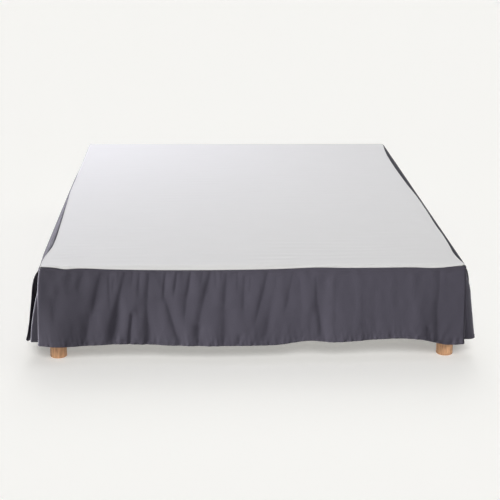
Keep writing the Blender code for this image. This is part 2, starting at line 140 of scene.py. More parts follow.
# How a drop hangs: the part of its length in which it puffs out, how far it tucks in below the
# seam, the power of its swing out to the hem, and how much of the seam's ridge shows. It tucks in
# over TUCK_PART of its length and leaves the bed's edge over LEAVE_PART. Its folds reach back by
# ROOM_BEHIND at most, which keeps them clear of the base.
Style = namedtuple("Style", "puff_part tuck flare ridge")
FRONT_STYLE = Style(0.095, 0.0036, 1.8, 1.0)
SIDE_STYLE = Style(0.13, 0.0, 2.5, 0.0)
TUCK_PART = 0.09
LEAVE_PART = 0.03
ROOM_BEHIND = 0.0035

# Folds: a creased trough (negative share) or ridge from one place to another, both given along
# the bed's edge and down from the deck. Narrow and wide are, at its top and its foot, the width of
# its wall on the side of smaller X or Y, and its other wall is wider by its lean. A share is of the
# distance that the cloth stands out there.
Fold = namedtuple("Fold", "top_at top_depth low_at low_depth narrow wide top_share low_share lean")
FRONT_FOLDS = (
    Fold(-0.628, 0.045, -0.640, 0.170, 0.0120, 0.0160, -0.18, -0.26, 3.2),
    Fold(-0.652, 0.090, -0.636, 0.220, 0.0120, 0.0120, -0.28, -0.08, 3.5),
    Fold(-0.556, 0.026, -0.574, 0.100, 0.0060, 0.0090, -0.47, -0.16, 2.0),
    Fold(-0.600, 0.060, -0.615, 0.260, 0.0300, 0.0310, 0.10, 0.05, 1.7),
    Fold(-0.493, 0.012, -0.524, 0.190, 0.0060, 0.0130, -0.95, -0.70, 3.2),
    Fold(-0.527, 0.150, -0.554, 0.340, 0.0110, 0.0120, -0.28, -0.22, 2.5),
    Fold(-0.512, 0.050, -0.566, 0.300, 0.0200, 0.0270, -0.08, -0.08, 1.4),
    Fold(-0.470, 0.018, -0.462, 0.170, 0.0030, 0.0063, -0.60, -0.20, 3.0),
    Fold(-0.452, 0.030, -0.454, 0.110, 0.0035, 0.0055, -0.74, -0.20, 2.6),
    Fold(-0.437, 0.008, -0.442, 0.080, 0.0035, 0.0055, -0.61, -0.13, 2.3),
    Fold(-0.416, 0.012, -0.478, 0.350, 0.0065, 0.0125, -0.90, -0.50, 3.2),
    Fold(-0.394, 0.008, -0.393, 0.080, 0.0035, 0.0055, -0.68, -0.13, 2.3),
    Fold(-0.371, 0.012, -0.372, 0.120, 0.0035, 0.0055, -0.95, -0.33, 2.5),
    Fold(-0.378, 0.120, -0.364, 0.200, 0.0080, 0.0090, -0.15, -0.20, 2.3),
    Fold(-0.392, 0.150, -0.412, 0.350, 0.0040, 0.0063, -0.30, -0.42, 3.0),
    Fold(-0.340, 0.012, -0.343, 0.150, 0.0050, 0.0100, -0.95, -0.75, 3.0),
    Fold(-0.343, 0.110, -0.337, 0.350, 0.0100, 0.0130, -0.52, -0.42, 3.2),
    Fold(-0.318, 0.008, -0.312, 0.060, 0.0035, 0.0055, -0.61, -0.13, 2.3),
    Fold(-0.305, 0.008, -0.300, 0.080, 0.0035, 0.0055, -0.68, -0.13, 2.3),
    Fold(-0.287, 0.012, -0.291, 0.140, 0.0035, 0.0055, -0.95, -0.33, 2.8),
    Fold(-0.291, 0.090, -0.212, 0.350, 0.0080, 0.0099, -0.34, -0.12, 2.6),
    Fold(-0.271, 0.008, -0.268, 0.050, 0.0035, 0.0055, -0.54, -0.08, 2.3),
    Fold(-0.250, 0.012, -0.258, 0.130, 0.0035, 0.0055, -0.94, -0.16, 2.6),
    Fold(-0.231, 0.008, -0.234, 0.050, 0.0035, 0.0055, -0.54, -0.08, 2.3),
    Fold(-0.204, 0.012, -0.216, 0.130, 0.0040, 0.0063, -0.95, -0.33, 2.6),
    Fold(-0.214, 0.080, -0.224, 0.210, 0.0060, 0.0081, -0.34, -0.15, 2.5),
    Fold(-0.180, 0.008, -0.182, 0.060, 0.0035, 0.0055, -0.54, -0.08, 2.3),
    Fold(-0.166, 0.008, -0.172, 0.080, 0.0035, 0.0055, -0.68, -0.08, 2.3),
    Fold(-0.138, 0.012, -0.166, 0.150, 0.0050, 0.0100, -0.95, -0.52, 2.8),
    Fold(-0.156, 0.100, -0.195, 0.290, 0.0110, 0.0153, -0.36, -0.16, 2.0),
    Fold(-0.178, 0.190, -0.175, 0.350, 0.0060, 0.0070, -0.16, -0.22, 3.5),
    Fold(-0.124, 0.008, -0.119, 0.100, 0.0035, 0.0055, -0.68, -0.08, 2.3),
    Fold(-0.103, 0.008, -0.104, 0.070, 0.0035, 0.0055, -0.61, -0.08, 2.3),
    Fold(-0.087, 0.014, -0.092, 0.180, 0.0055, 0.0105, -0.70, -0.24, 3.4),
    Fold(-0.090, 0.130, -0.092, 0.350, 0.0140, 0.0162, -0.28, -0.14, 2.2),
    Fold(-0.071, 0.014, -0.068, 0.070, 0.0035, 0.0055, -0.47, -0.08, 1.9),
    Fold(-0.052, 0.012, -0.049, 0.110, 0.0035, 0.0055, -0.54, -0.12, 2.5),
    Fold(-0.027, 0.019, -0.032, 0.190, 0.0050, 0.0072, -0.45, -0.14, 2.8),
    Fold(-0.040, 0.220, -0.048, 0.350, 0.0080, 0.0108, -0.09, -0.15, 2.2),
    Fold(-0.008, 0.029, -0.010, 0.120, 0.0050, 0.0072, -0.41, -0.08, 2.0),
    Fold(0.050, 0.012, 0.004, 0.220, 0.0050, 0.0080, -0.70, -0.22, 3.4),
    Fold(0.070, 0.080, 0.028, 0.350, 0.0130, 0.0189, -0.26, -0.26, 2.0),
    Fold(0.076, 0.029, 0.074, 0.100, 0.0040, 0.0072, -0.41, -0.08, 2.0),
    Fold(0.133, 0.014, 0.101, 0.190, 0.0050, 0.0081, -0.60, -0.19, 3.2),
    Fold(0.153, 0.035, 0.156, 0.120, 0.0050, 0.0072, -0.47, -0.08, 2.0),
    Fold(0.118, 0.160, 0.150, 0.350, 0.0240, 0.0270, -0.09, -0.09, 1.7),
    Fold(0.206, 0.030, 0.213, 0.190, 0.0050, 0.0090, -0.75, -0.36, 5.0),
    Fold(0.213, 0.120, 0.238, 0.350, 0.0070, 0.0120, -0.38, -0.34, 5.0),
    Fold(0.192, 0.150, 0.190, 0.350, 0.0100, 0.0135, -0.10, -0.16, 2.9),
    Fold(0.271, 0.029, 0.272, 0.260, 0.0080, 0.0108, -0.30, -0.12, 2.3),
    Fold(0.334, 0.060, 0.338, 0.200, 0.0080, 0.0108, -0.15, -0.08, 2.2),
    Fold(0.357, 0.080, 0.364, 0.190, 0.0080, 0.0090, -0.20, -0.08, 2.2),
    Fold(0.372, 0.180, 0.378, 0.300, 0.0100, 0.0108, -0.10, -0.15, 2.2),
    Fold(0.612, 0.008, 0.606, 0.220, 0.0060, 0.0130, -0.50, -0.36, 4.5),
    Fold(0.603, 0.110, 0.614, 0.350, 0.0090, 0.0080, -0.26, -0.36, 4.0),
    Fold(0.588, 0.090, 0.585, 0.340, 0.0180, 0.0234, -0.05, -0.04, 2.0),
    Fold(0.573, 0.200, 0.582, 0.350, 0.0045, 0.0055, -0.14, -0.36, 4.0),
    Fold(0.546, 0.240, 0.552, 0.350, 0.0040, 0.0063, -0.10, -0.25, 1.7),
)
LEFT_FOLDS = (
    Fold(-0.790, 0.040, -0.770, 0.330, 0.010, 0.021, -0.81, -0.58, 1.7),
    Fold(-0.620, 0.020, -0.640, 0.330, 0.010, 0.021, -0.58, -0.41, 1.4),
    Fold(-0.420, 0.030, -0.430, 0.270, 0.010, 0.021, -0.50, -0.37, 1.7),
    Fold(-0.240, 0.020, -0.250, 0.330, 0.010, 0.021, -0.66, -0.50, 1.4),
    Fold(0.020, 0.040, -0.010, 0.330, 0.010, 0.021, -0.66, -0.45, 1.7),
    Fold(0.200, 0.030, 0.180, 0.250, 0.010, 0.021, -0.41, -0.29, 1.7),
    Fold(0.430, 0.020, 0.410, 0.330, 0.010, 0.021, -0.66, -0.50, 1.5),
    Fold(0.640, 0.040, 0.650, 0.330, 0.012, 0.024, -0.50, -0.37, 1.5),
)
RIGHT_FOLDS = (
    Fold(-0.770, 0.030, -0.740, 0.330, 0.010, 0.021, -0.66, -0.50, 1.5),
    Fold(-0.550, 0.020, -0.530, 0.330, 0.010, 0.021, -0.58, -0.41, 1.4),
    Fold(-0.330, 0.040, -0.350, 0.260, 0.010, 0.021, -0.50, -0.32, 1.7),
    Fold(-0.120, 0.020, -0.130, 0.330, 0.010, 0.020, -0.66, -0.50, 1.4),
    Fold(0.110, 0.030, 0.090, 0.330, 0.010, 0.021, -0.58, -0.41, 1.7),
    Fold(0.300, 0.040, 0.290, 0.250, 0.010, 0.021, -0.50, -0.32, 1.4),
    Fold(0.520, 0.020, 0.500, 0.330, 0.010, 0.021, -0.74, -0.53, 1.7),
    Fold(0.720, 0.030, 0.700, 0.330, 0.010, 0.021, -0.50, -0.37, 1.5),
)

# A fold deepens over FOLD_START, or over a part of its length if it is short, and dies away over
# the last part of it. Its crease is rounded over a part of its wall, and within HEM_EASE_DEPTH of
# the hem it loses up to HEM_EASE of its depth.
FOLD_START = 0.022
FOLD_START_PART = 0.3
FOLD_FADE_PART = 0.45
CREASE_PART = 0.5
HEM_EASE = 0.55
HEM_EASE_DEPTH = 0.022

# Small unevenness: how high it is, its longest wave, and how many waves are laid over each other.
# The shortest wave is a part of the longest, and the waves turn a little from upright. The hem's
# puckers fade away over HEM_PUCKER_PART of a drop, and the deck's ripples run across the bed.
Ripple = namedtuple("Ripple", "height longest waves")
DROP_RIPPLE = Ripple(0.0006, 0.090, 24)
HEM_PUCKERS = Ripple(0.0014, 0.035, 12)
DECK_RIPPLE = Ripple(0.0005, 0.050, 30)
DECK_RIPPLE_STRETCH = 0.22
DECK_SEED = 41
HEM_PUCKER_PART = 0.08
SHORTEST_WAVE = 0.35
WAVE_TURN = 0.35

# Each drop's ends: where they hang at the top, and how far along they move as they fall, most of
# it within SPREAD_PART of the drop.
FRONT_END = 0.6985
SIDE_END = 0.9455
Spread = namedtuple("Spread", "start end")
FRONT_SPREAD = Spread(-0.012, 0.007)
LEFT_SPREAD = Spread(0.021, 0.0)
RIGHT_SPREAD = Spread(0.020, 0.0)
SPREAD_PART = 0.20

# Within CORNER_DIP of its ends a drop's top edge dips to CORNER_ARC round the bed's edge, where it
# isn't lower already. Its stretch round the bend is LEAST_BEND long or more. The foot drop's own
# ends curl back over END_CURL.
CORNER_DIP = 0.022
CORNER_ARC = 0.0138
LEAST_BEND = 0.003
END_CURL = 0.0065

# Sewing: the top of a drop swells over its seam allowance, and its hem is turned up and stitched.
ALLOWANCE = 0.009
ALLOWANCE_SWELL = 0.0012
HEM_DEPTH = 0.011
HEM_SWELL = 0.0007
HEM_STEP = 0.002
STITCH_SINK = 0.0006
STITCH_WIDTH = 0.0016

# Fineness of the drops' meshes: the distance between columns, of which END_COLUMNS lie closer
# together within END_RUN of an end, and the rows round the bend and below it.
FRONT_STEP = 0.0027
SIDE_STEP = 0.0048
END_RUN = 0.012
END_COLUMNS = 8
BEND_ROWS = 8
FALL_ROWS = 78

# The deck's mesh, with rows that lie closer together at the foot. Its edges roll up a little over
# the seam allowances. Within BOW_RUN of a seam its sides bow out and its slack is drawn flat.
DECK_COLUMNS = 180
DECK_ROWS = 270
DECK_ROWS_POWER = 1.25
FRONT_ROLL = 0.0026
FRONT_ROLL_RUN = 0.011
SIDE_ROLL = 0.0009
SIDE_ROLL_RUN = 0.006
BOW_RUN = 0.06

# Dents and swells of the slack deck: middle, half length, half width, turn from X, and height.
Dent = namedtuple("Dent", "x y length width turn height")
DENTS = (
    Dent(0.093, -0.874, 0.045, 0.012, 0.25, -0.0007), Dent(0.510, -0.708, 0.060, 0.018, 0.60, -0.0008),
    Dent(0.560, 0.890, 0.120, 0.014, 0.06, -0.0014), Dent(0.600, 0.800, 0.070, 0.020, 0.20, 0.0012),
    Dent(0.635, 0.600, 0.025, 0.110, 0.05, -0.0014), Dent(0.630, 0.330, 0.025, 0.100, 0.05, -0.0014),
    Dent(0.635, 0.080, 0.030, 0.050, 0.30, -0.0012), Dent(0.655, -0.100, 0.040, 0.018, 0.35, 0.0012),
    Dent(0.660, -0.160, 0.035, 0.010, 0.40, -0.0012), Dent(0.655, -0.230, 0.040, 0.020, 0.35, 0.0012),
    Dent(0.630, -0.420, 0.030, 0.040, 0.50, -0.0012), Dent(0.640, -0.600, 0.030, 0.060, 0.20, -0.0012),
    Dent(-0.630, -0.815, 0.060, 0.012, 0.75, -0.0014), Dent(-0.600, -0.870, 0.060, 0.015, 0.55, 0.0016),
    Dent(-0.490, -0.840, 0.070, 0.016, 0.35, -0.0006), Dent(-0.640, 0.720, 0.035, 0.050, 0.20, -0.0012),
)

# Pleats behind the split corners: each reaches PLEAT_LEG both ways from its corner, stands
# PLEAT_CLEAR off the base, and hangs out by PLEAT_OUT_FRONT at the front of its hem.
PLEAT_LEG = 0.070
PLEAT_TOP = DECK_TOP - 0.020
PLEAT_HEM = 0.068
PLEAT_CLEAR = 0.0026
PLEAT_OUT_FRONT = 0.004
PLEAT_COLUMNS = 120
PLEAT_ROWS = 60

# Each pleat down its length: how far out to the side it hangs, and the radius of its turn.
Bell = namedtuple("Bell", "at out radius")
LEFT_BELL = (
    Bell(0.00, 0.0000, 0.012), Bell(0.20, 0.0045, 0.007), Bell(0.35, 0.0152, 0.005),
    Bell(0.50, 0.0232, 0.005), Bell(0.65, 0.0300, 0.005), Bell(0.80, 0.0355, 0.005),
    Bell(1.00, 0.0395, 0.005),
)
RIGHT_BELL = (
    Bell(0.00, 0.0040, 0.020), Bell(0.15, 0.0145, 0.022), Bell(0.30, 0.0245, 0.024),
    Bell(0.45, 0.0292, 0.025), Bell(0.70, 0.0382, 0.026), Bell(0.88, 0.0442, 0.026),
    Bell(1.00, 0.0486, 0.024),
)


# ------------------------------------------------------------------------------------------------
# Cloth
# ------------------------------------------------------------------------------------------------

def smooth_step(t):
    """Rises from 0 to 1 with level ends."""
    t = np.clip(t, 0.0, 1.0)
    return t * t * (3.0 - 2.0 * t)


def read_table(rows, at, column):
    """Values of a column at places between the rows, on a smooth curve through them."""
    at = np.asarray(at, float)
    places = np.array([row.at for row in rows])
    values = np.array([getattr(row, column) for row in rows])
    slopes = np.gradient(values, places)
    index = np.clip(np.searchsorted(places, at) - 1, 0, len(rows) - 2)
    span = places[index + 1] - places[index]
    t = np.clip((at - places[index]) / span, 0.0, 1.0)
    rise = values[index + 1] - values[index]
    ease = t * (1.0 - t) * ((1.0 - t) * (slopes[index] * span - rise)
                            - t * (slopes[index + 1] * span - rise))
    return values[index] + t * rise + ease


def over_edge(arc):
    """Cloth over the bed's top edge: reach past the bend line, and drop, at an arc length."""
    turn = np.clip(arc / EDGE_RADIUS, 0.0, math.pi / 2)
    below = np.maximum(arc - QUARTER_TURN, 0.0)
    reach = np.where(arc <= 0.0, arc, EDGE_RADIUS * np.sin(turn))
    return reach, EDGE_RADIUS * (1.0 - np.cos(turn)) + below


def arc_at_drop(drop):
    """Arc length at which the cloth has fallen this far below the deck."""
    bent = EDGE_RADIUS * np.arccos(np.clip(1.0 - drop / EDGE_RADIUS, -1.0, 1.0))
    return np.where(drop >= EDGE_RADIUS, QUARTER_TURN + drop - EDGE_RADIUS, bent)


def arc_at_inset(inset):
    """Arc length at which the cloth is this far in from its outer face."""
    bent = EDGE_RADIUS * np.arcsin(np.clip(1.0 - inset / EDGE_RADIUS, -1.0, 1.0))
    return np.where(inset >= EDGE_RADIUS, EDGE_RADIUS - inset, bent)


def front_seam(x):
    """Arc length from the bend line to the foot drop's seam."""
    return arc_at_drop(read_table(FRONT_SEAM, x, "drop"))


def left_seam(y):
    """Arc length from the bend line to the left drop's seam."""
    return arc_at_inset(read_table(LEFT_SEAM, y, "inset"))


def right_seam(y):
    """Arc length from the bend line to the right drop's seam."""
    return arc_at_inset(read_table(RIGHT_SEAM, y, "inset"))


def folded_share(folds, along, depth, above_hem):
    """What the folds leave of the distance that a drop stands out, at places on it."""
    left = np.ones(np.broadcast(along, depth).shape)
    ease = 1.0 - HEM_EASE * np.exp(-above_hem / HEM_EASE_DEPTH)
    for fold in folds:
        length = fold.low_depth - fold.top_depth
        run = (depth - fold.top_depth) / length
        across = along - (fold.top_at + run * (fold.low_at - fold.top_at))
        start = min(FOLD_START, FOLD_START_PART * length)
        fade = smooth_step((depth - fold.top_depth) / start) * smooth_step((1.0 - run) / FOLD_FADE_PART)
        part = np.clip(run, 0.0, 1.0)
        wall = fold.narrow + part * (fold.wide - fold.narrow)
        wall = np.where(across < 0.0, wall, wall * fold.lean)
        crease = CREASE_PART * wall
        share = fold.top_share + part * (fold.low_share - fold.top_share)
        left *= 1.0 + share * fade * ease * np.exp((crease - np.hypot(across, crease)) / wall)
    return left


def ripples(ripple, seed, along, depth):
    """Small unevenness of hung cloth: waves of many lengths, mostly upright, seeded."""
    chance = np.random.RandomState(seed)
    total = np.zeros(np.broadcast(along, depth).shape)
    for _ in range(ripple.waves):
        length = ripple.longest * SHORTEST_WAVE ** chance.rand()
        angle = chance.normal(0.0, WAVE_TURN)
        phase = chance.rand() * 2.0 * math.pi
        run = (along * math.cos(angle) + depth * math.sin(angle)) * 2.0 * math.pi / length
        total += np.sin(run + phase) * length / ripple.longest
    return ripple.height * (total / math.sqrt(ripple.waves))


def fall(drop, along, part):
    """Distance out and height of a drop's hanging stretch, part of the way down to its hem."""
    style = drop.style
    out_at_hem = read_table(drop.hem, along, "out")
    puff = read_table(drop.hem, along, "puff")
    hem_height = read_table(drop.hem, along, "height") + HEM_RISE * (out_at_hem - HEM_OUT)
    start = CLOTH_LEVEL - EDGE_RADIUS
    height = start + part * (hem_height - start)
    depth = DECK_TOP - height
    swell = puff * (1.0 - np.exp(-part / style.puff_part)) + (out_at_hem - puff) * part ** style.flare
    swell = swell - style.tuck * smooth_step(part / TUCK_PART)
    left = folded_share(drop.folds, along, depth, height - hem_height)
    out = (swell + ROOM_BEHIND) * left - ROOM_BEHIND
    out = out + ripples(DROP_RIPPLE, drop.seed, along, depth)
    near_hem = np.exp((part - 1.0) / HEM_PUCKER_PART)
    out = out + near_hem * ripples(HEM_PUCKERS, drop.seed + 1, along, depth)
    return np.maximum(out, -ROOM_BEHIND) * smooth_step(part / LEAVE_PART), height


def sewn_relief(from_top, from_hem, ridge_share):
    """How far a sheet stands out over its seam allowance and hem, and sinks at its stitch lines."""
    ridge = ALLOWANCE_SWELL * np.sin(math.pi * np.clip(from_top / ALLOWANCE, 0.0, 1.0))
    ridge = ridge - STITCH_SINK * np.exp(-((from_top - ALLOWANCE) / STITCH_WIDTH) ** 2)
    turned = HEM_SWELL * smooth_step((HEM_DEPTH - from_hem) / HEM_STEP)
    turned = turned - STITCH_SINK * np.exp(-((from_hem - HEM_DEPTH) / STITCH_WIDTH) ** 2)
    return ridge_share * ridge + turned


def push_out(points, relief, outward):
    """Moves a grid of points along its own normals."""
    down = np.gradient(points, axis=0)
    across = np.gradient(points, axis=1)
    normal = np.cross(across, down)
    normal /= np.linalg.norm(normal, axis=-1, keepdims=True) + 1e-12
    if (normal[len(normal) // 2] @ np.array(outward)).mean() < 0.0:
        normal = -normal
    return points + normal * relief[..., None]


def cloth_mesh(name, points, flat):
    """Mesh of a grid of points, with its cut's own measures in metres as its UV map."""
    rows, columns = points.shape[:2]
    index = np.arange(rows * columns).reshape(rows, columns)
    faces = np.stack([index[:-1, :-1], index[:-1, 1:], index[1:, 1:], index[1:, :-1]], axis=-1)
    mesh = bpy.data.meshes.new(name)
    mesh.from_pydata(points.reshape(-1, 3).tolist(), [], faces.reshape(-1, 4).tolist())
    corners = np.zeros(len(mesh.loops), np.int32)
    mesh.loops.foreach_get("vertex_index", corners)
    uv = mesh.uv_layers.new(name="cut")
    uv.data.foreach_set("uv", flat.reshape(-1, 2)[corners].ravel())
    mesh.shade_smooth()
    return mesh


def add_sheet(name, points, flat, outward, thickness, material):
    """A sheet of cloth from a grid of points at its mid thickness, on the bed's body."""
    mesh = cloth_mesh(name, points, flat)
    middle = mesh.polygons[len(mesh.polygons) // 2].normal
    if middle.dot(Vector(outward)) < 0.0:
        mesh.flip_normals()
    mesh.materials.append(material)
    sheet = bpy.data.objects.new(name, mesh)
    bpy.context.scene.collection.objects.link(sheet)
    solid = sheet.modifiers.new("thickness", "SOLIDIFY")
    solid.thickness = thickness
    solid.offset = 0.0
    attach(sheet, "root")
    return sheet


def add_sewn_sheet(name, points, flat, outward, ridge_share, material):
    """A sheet of the skirt's own cloth, with its seam allowance and hem sewn."""
    down = -flat[..., 1]
    points = push_out(points, sewn_relief(down, down[-1] - down, ridge_share), outward)
    return add_sheet(name, points, flat, outward, SKIRT_CLOTH, material)


def on_bed(x, y, z):
    """Points from places measured from the bed's middle."""
    return np.stack(np.broadcast_arrays(x + BED_MIDDLE.x, y + BED_MIDDLE.y, z), axis=-1)


# ------------------------------------------------------------------------------------------------
# Drops
# ------------------------------------------------------------------------------------------------

# A drop: where it ends, the distance between its columns, its seam and tables, how its ends
# spread, how it hangs, and the seed of its ripples.
Drop = namedtuple("Drop", "end step seam hem folds spread style seed")
FRONT_DROP = Drop(
    FRONT_END, FRONT_STEP, front_seam, FRONT_HEM, FRONT_FOLDS, FRONT_SPREAD, FRONT_STYLE, seed=11)
LEFT_DROP = Drop(
    SIDE_END, SIDE_STEP, left_seam, LEFT_HEM, LEFT_FOLDS, LEFT_SPREAD, SIDE_STYLE, seed=21)
RIGHT_DROP = Drop(
    SIDE_END, SIDE_STEP, right_seam, RIGHT_HEM, RIGHT_FOLDS, RIGHT_SPREAD, SIDE_STYLE, seed=31)


def columns_along(end, step):
    """Places of a drop's columns: even along it, and closer together near its ends."""
    even = end - END_RUN
    near_end = even + END_RUN * np.sin(np.linspace(0.0, math.pi / 2, END_COLUMNS + 1)[1:])
    middle = np.linspace(-even, even, int(round(2.0 * even / step)) + 1)
    return np.concatenate([-near_end[::-1], middle, near_end])[None, :]


def bend_rows(drop, along):
    """Reach and height of a drop's rows round the bed's edge, and the arc length where they end."""
    top = drop.seam(along) + SEAM_GAP
    near_end = smooth_step(1.0 - (drop.end - np.abs(along)) / CORNER_DIP)
    top = top + near_end * np.maximum(CORNER_ARC - top, 0.0)
    bend_end = np.maximum(QUARTER_TURN, top + LEAST_BEND)
    run = np.linspace(0.0, 1.0, BEND_ROWS, endpoint=False)[:, None]
    reach, below = over_edge(top + (bend_end - top) * run)
    return reach, CLOTH_LEVEL - below, bend_end


def drop_points(drop):
    """A drop's grid: along the bed, reach past the bend line, height, and the cut's measures."""
    along = columns_along(drop.end, drop.step)
    bend_reach, bend_height, bend_end = bend_rows(drop, along)
    begin = (bend_end - QUARTER_TURN) / (CLOTH_LEVEL - EDGE_RADIUS - drop.hem[0].height)
    part = begin + (1.0 - begin) * np.linspace(0.0, 1.0, FALL_ROWS + 1)[:, None]
    out, fall_height = fall(drop, along, part)
    share = (along + drop.end) / (2.0 * drop.end)
    spread = drop.spread.start + (drop.spread.end - drop.spread.start) * share
    moved = along + spread * (1.0 - np.exp(-part / SPREAD_PART))
    place = np.vstack([np.repeat(along, BEND_ROWS, axis=0), moved])
    reach = np.vstack([bend_reach, EDGE_RADIUS + out])
    height = np.vstack([bend_height, fall_height])
    step = np.hypot(np.diff(reach, axis=0), np.diff(height, axis=0))
    down = np.vstack([np.zeros_like(along), np.cumsum(step, axis=0)])
    flat = np.stack([np.broadcast_to(along, down.shape), -down], axis=-1)
    return place, reach, height, flat


def make_foot_drop(material):
    """The drop across the foot of the bed, with its ends curled back at the split corners."""
    place, reach, height, flat = drop_points(FRONT_DROP)
    turn = np.clip((np.abs(flat[..., 0]) - FRONT_END) / END_CURL + 1.0, 0.0, 1.0)
    reach = reach - END_CURL * (1.0 - np.sqrt(1.0 - turn ** 2))
    points = on_bed(place, -(BEND_Y + reach), height)
    outward = (0.0, -1.0, 0.0)
    sheet = add_sewn_sheet("foot_drop", points, flat, outward, FRONT_STYLE.ridge, material)
    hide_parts("drop_front")
    return sheet


def make_side_drop(name, node, drop, seam_table, side, material):
    """The drop on one side of the bed: side is -1 for the left and 1 for the right."""
    place, reach, height, flat = drop_points(drop)
    bow = read_table(seam_table, place, "bow")
    points = on_bed(side * (BEND_X + reach + bow), place, height)
    sheet = add_sewn_sheet(name, points, flat, (side, 0.0, 0.0), SIDE_STYLE.ridge, material)
    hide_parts(node)
    return sheet


# ------------------------------------------------------------------------------------------------
# Deck
# ------------------------------------------------------------------------------------------------

def deck_relief(x, y):
    """Slack of the deck cloth: its own dents and swells, and slight ripples across the bed."""
    height = ripples(DECK_RIPPLE, DECK_SEED, y, DECK_RIPPLE_STRETCH * x)
    for dent in DENTS:
        turn_cos = math.cos(dent.turn)
        turn_sin = math.sin(dent.turn)
        along = ((x - dent.x) * turn_cos + (y - dent.y) * turn_sin) / dent.length
        across = ((y - dent.y) * turn_cos - (x - dent.x) * turn_sin) / dent.width
        height = height + dent.height * np.exp(-along ** 2 - across ** 2)
    return height


def bow_out(x_arc, y_arc):
    """How far the deck's side edges bow out, fading away from them."""
    near = smooth_step((np.abs(x_arc) - BEND_X + BOW_RUN) / BOW_RUN)
    left_bow = -read_table(LEFT_SEAM, y_arc, "bow")
    right_bow = read_table(RIGHT_SEAM, y_arc, "bow")
    return near * np.where(x_arc < 0.0, left_bow, right_bow)


def make_deck(material):
    """The white sheet under the mattress, from seam to seam, with its head edge hanging free."""
    across = np.sin(np.linspace(-1.0, 1.0, DECK_COLUMNS + 1) * math.pi / 2)[None, :]
    up = np.linspace(0.0, 1.0, DECK_ROWS + 1)[:, None] ** DECK_ROWS_POWER
    head = BEND_Y + arc_at_drop(HEAD_OVERHANG)
    front = -(BEND_Y + front_seam(across * FRONT_END))
    y_arc = front + (head - front) * up
    limit = BEND_X + np.where(across < 0.0, left_seam(y_arc), right_seam(y_arc))
    x_arc = across * limit
    reach_x, drop_x = over_edge(np.abs(x_arc) - BEND_X)
    reach_y, drop_y = over_edge(np.abs(y_arc) - BEND_Y)
    x = np.sign(x_arc) * (BEND_X + reach_x) + bow_out(x_arc, y_arc)
    y = np.sign(y_arc) * (BEND_Y + reach_y)
    from_side = limit - np.abs(x_arc)
    from_front = y_arc - front
    roll = FRONT_ROLL * smooth_step(1.0 - from_front / FRONT_ROLL_RUN)
    roll = np.maximum(roll, SIDE_ROLL * smooth_step(1.0 - from_side / SIDE_ROLL_RUN))
    slack = smooth_step(np.minimum(from_side, from_front) / BOW_RUN) * deck_relief(x, y)
    upward = (0.0, 0.0, 1.0)
    points = push_out(on_bed(x, y, CLOTH_LEVEL - drop_x - drop_y), roll + slack, upward)
    flat = np.stack([x_arc, y_arc], axis=-1)
    sheet = add_sheet("deck_sheet", points, flat, upward, DECK_CLOTH, material)
    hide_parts("deck")
    return sheet


# ------------------------------------------------------------------------------------------------
# Pleats
# ------------------------------------------------------------------------------------------------

def corner_outline(along, radius, half_width, half_length):
    """Points on the outline of a rounded foot corner, by distance from the corner's middle."""
    half_arc = radius * math.pi / 4
    angle = np.clip(along, -half_arc, half_arc) / radius - math.pi / 4
    x = half_width - radius * (1.0 - np.cos(angle)) + np.minimum(along + half_arc, 0.0)
    y = -half_length + radius * (1.0 + np.sin(angle)) + np.maximum(along - half_arc, 0.0)
    return x, y


def make_pleat(name, node, bell, side, material):
    """A strip of cloth that hangs round the foot corner, behind the split."""
    along = np.linspace(-PLEAT_LEG, PLEAT_LEG, PLEAT_COLUMNS + 1)[None, :]
    part = np.linspace(0.0, 1.0, PLEAT_ROWS + 1)[:, None]
    radius = read_table(bell, part, "radius")
    half_width = BASE_HALF_WIDTH + PLEAT_CLEAR + read_table(bell, part, "out")
    half_length = BASE_HALF_LENGTH + PLEAT_CLEAR + PLEAT_OUT_FRONT * part
    x, y = corner_outline(along, radius, half_width, half_length)
    down = part * (PLEAT_TOP - PLEAT_HEM)
    points = on_bed(side * x, y, PLEAT_TOP - down)
    flat = np.stack(np.broadcast_arrays(along, -down), axis=-1)
    sheet = add_sewn_sheet(name, points, flat, (side, -1.0, 0.0), ridge_share=0.0, material=material)
    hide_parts(node)
    return sheet


# ------------------------------------------------------------------------------------------------
# Finishes
# ------------------------------------------------------------------------------------------------

SKIRT_COLOUR = (0.0238, 0.0211, 0.0312)
SKIRT_SHEEN = (0.86, 0.84, 0.95, 1.0)
DECK_COLOUR = (0.565, 0.561, 0.557)
BASE_COLOUR = (0.50, 0.49, 0.47)
FLOOR_COLOUR = (0.80, 0.795, 0.775, 1.0)
FLOOR_GLOW = (1.0, 0.99, 0.96, 1.0)

# Beech: where on the grain each tone lies, and the tones.
Tone = namedtuple("Tone", "position colour")
WOOD_TONES = (Tone(0.30, (0.33, 0.165, 0.078, 1.0)), Tone(0.68, (0.74, 0.415, 0.220, 1.0)))
GRAIN_STRETCH = (1.0, 1.0, 0.08)
GRAINS_PER_METRE = 260.0

# Weave and dye: how far a crossing of threads stands out of a relief from 0 to 1, and how many
# slubs, flecks and clouds a metre has.
THREAD_RELIEF = 0.35
SLUBS_PER_METRE = 420.0
FLECKS_PER_METRE = 260.0
CLOUDS_PER_METRE = 9.0


def new_group(name, inputs, outputs):
    """A shader node group with named inputs (label: default) and outputs (label: socket type)."""
    tree = bpy.data.node_groups.new(name, "ShaderNodeTree")
    for label, value in inputs.items():
        kind = "NodeSocketVector" if value is None else "NodeSocketFloat"
        socket = tree.interface.new_socket(name=label, in_out="INPUT", socket_type=kind)
        if value is not None:
            socket.default_value = value
    for label, kind in outputs.items():
        tree.interface.new_socket(name=label, in_out="OUTPUT", socket_type=kind)
    return tree, tree.nodes.new("NodeGroupInput"), tree.nodes.new("NodeGroupOutput")


